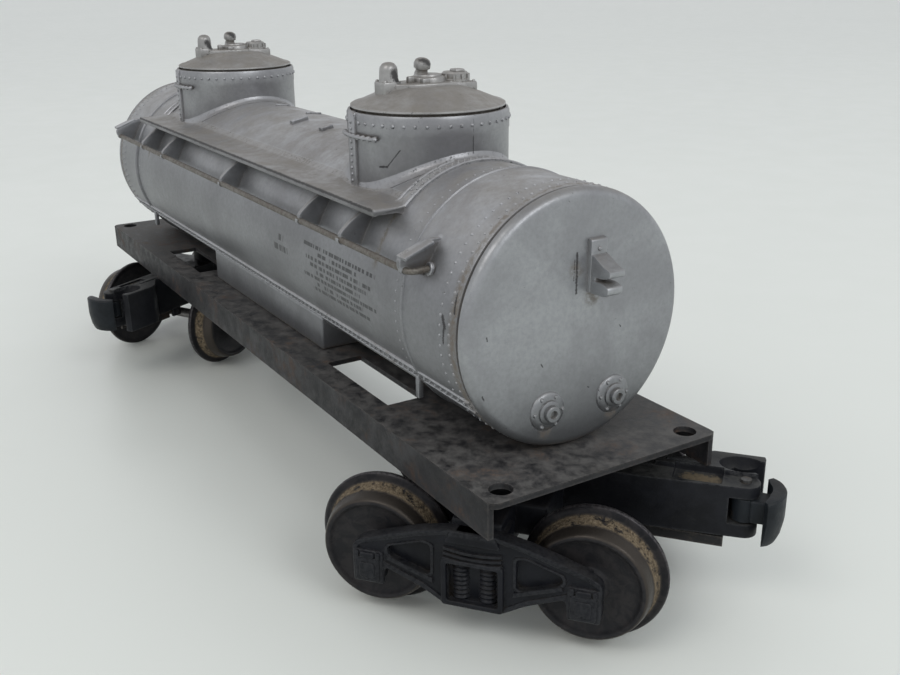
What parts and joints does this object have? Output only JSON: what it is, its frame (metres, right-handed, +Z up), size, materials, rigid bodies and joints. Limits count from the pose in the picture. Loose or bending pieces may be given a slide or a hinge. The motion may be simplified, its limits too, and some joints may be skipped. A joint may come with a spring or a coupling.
{
  "type": "model tank wagon",
  "caption": "Toy railway tank wagon: pressed-steel frame, silver twin-dome tank with walkways and handrails, swivelling trucks with knuckle couplers.",
  "frame": {"origin": "on the floor that the wheel flanges stand on, midway between the truck pivots and on the wagon's centre line", "axes": "+X along the wagon towards the near end, +Z up, -Y the side with the left handrail; trucks stand swivelled at rest"},
  "size_m": [0.2054, 0.0702, 0.0817],
  "materials": {
    "silver_plastic": "silver paint on moulded plastic, satin, with brown grime",
    "black_steel": "worn semi-gloss black paint with rust",
    "wire": "dull silver paint on wire",
    "fastener_steel": "dull plated steel",
    "truck_plastic": "satin black moulding, dusty",
    "knuckle_plastic": "satin black moulding",
    "axle_steel": "plain steel",
    "wheel_metal": "blackened casting, dirty tan tread",
    "flap_steel": "blackened steel"
  },
  "bodies": {
    "wagon_body": {"frame_plate": "black_steel", "tank_barrel": "silver_plastic", "tank_end_near": "silver_plastic", "tank_end_far": "silver_plastic", "dome_lid_near": "silver_plastic", "dome_lid_far": "silver_plastic", "handrail_left": "wire", "handrail_right": "wire", "tank_screws": "fastener_steel", "pivot_pin_near": "fastener_steel", "pivot_pin_far": "fastener_steel", "pivot_washer_near": "fastener_steel", "pivot_washer_far": "fastener_steel"},
    "truck_near": {"truck_frame_near": "truck_plastic", "knuckle_pin_near": "fastener_steel", "flap_pin_near": "fastener_steel"},
    "wheelset_near_outer": {"axle_near_outer": "axle_steel", "wheel_near_outer_left": "wheel_metal", "wheel_near_outer_right": "wheel_metal"},
    "wheelset_near_inner": {"axle_near_inner": "axle_steel", "wheel_near_inner_left": "wheel_metal", "wheel_near_inner_right": "wheel_metal"},
    "knuckle_near": {"knuckle_near": "knuckle_plastic"},
    "uncoupler_flap_near": {"uncoupler_flap_near": "flap_steel"},
    "truck_far": {"truck_frame_far": "truck_plastic", "knuckle_pin_far": "fastener_steel", "flap_pin_far": "fastener_steel"},
    "wheelset_far_outer": {"axle_far_outer": "axle_steel", "wheel_far_outer_left": "wheel_metal", "wheel_far_outer_right": "wheel_metal"},
    "wheelset_far_inner": {"axle_far_inner": "axle_steel", "wheel_far_inner_left": "wheel_metal", "wheel_far_inner_right": "wheel_metal"},
    "knuckle_far": {"knuckle_far": "knuckle_plastic"},
    "uncoupler_flap_far": {"uncoupler_flap_far": "flap_steel"}
  },
  "joints": [
    {"name": "truck_near_swivel", "type": "hinge", "parent": "wagon_body", "child": "truck_near", "pos_m": [0.0705, 0, 0.0265], "axis": [0, 0, 1], "continuous": true},
    {"name": "wheelset_near_outer_spin", "type": "hinge", "parent": "truck_near", "child": "wheelset_near_outer", "pos_m": [0.08344, 0.01048, 0.011], "axis": [-0.6293, 0.7771, 0], "continuous": true},
    {"name": "wheelset_near_inner_spin", "type": "hinge", "parent": "truck_near", "child": "wheelset_near_inner", "pos_m": [0.05756, -0.01048, 0.011], "axis": [-0.6293, 0.7771, 0], "continuous": true},
    {"name": "knuckle_near_hinge", "type": "hinge", "parent": "truck_near", "child": "knuckle_near", "pos_m": [0.0991, 0.02252, 0.0178], "axis": [0, 0, -1], "range_deg": [0, 50]},
    {"name": "uncoupler_flap_near_hinge", "type": "hinge", "parent": "truck_near", "child": "uncoupler_flap_near", "pos_m": [0.08589, 0.01246, 0.0123], "axis": [-0.6293, 0.7771, 0], "range_deg": [0, 8], "stiffness_Nm_per_rad": 0.001, "springref_deg": -17.19},
    {"name": "truck_far_swivel", "type": "hinge", "parent": "wagon_body", "child": "truck_far", "pos_m": [-0.0705, 0, 0.0265], "axis": [0, 0, 1], "continuous": true},
    {"name": "wheelset_far_outer_spin", "type": "hinge", "parent": "truck_far", "child": "wheelset_far_outer", "pos_m": [-0.06268, -0.0147, 0.011], "axis": [0.8829, 0.4695, 0], "continuous": true},
    {"name": "wheelset_far_inner_spin", "type": "hinge", "parent": "truck_far", "child": "wheelset_far_inner", "pos_m": [-0.07832, 0.0147, 0.011], "axis": [0.8829, 0.4695, 0], "continuous": true},
    {"name": "knuckle_far_hinge", "type": "hinge", "parent": "truck_far", "child": "knuckle_far", "pos_m": [-0.05385, -0.03237, 0.0178], "axis": [0, 0, -1], "range_deg": [0, 50]},
    {"name": "uncoupler_flap_far_hinge", "type": "hinge", "parent": "truck_far", "child": "uncoupler_flap_far", "pos_m": [-0.0612, -0.01748, 0.0123], "axis": [0.8829, 0.4695, 0], "range_deg": [0, 8], "stiffness_Nm_per_rad": 0.001, "springref_deg": -17.19}
  ]
}
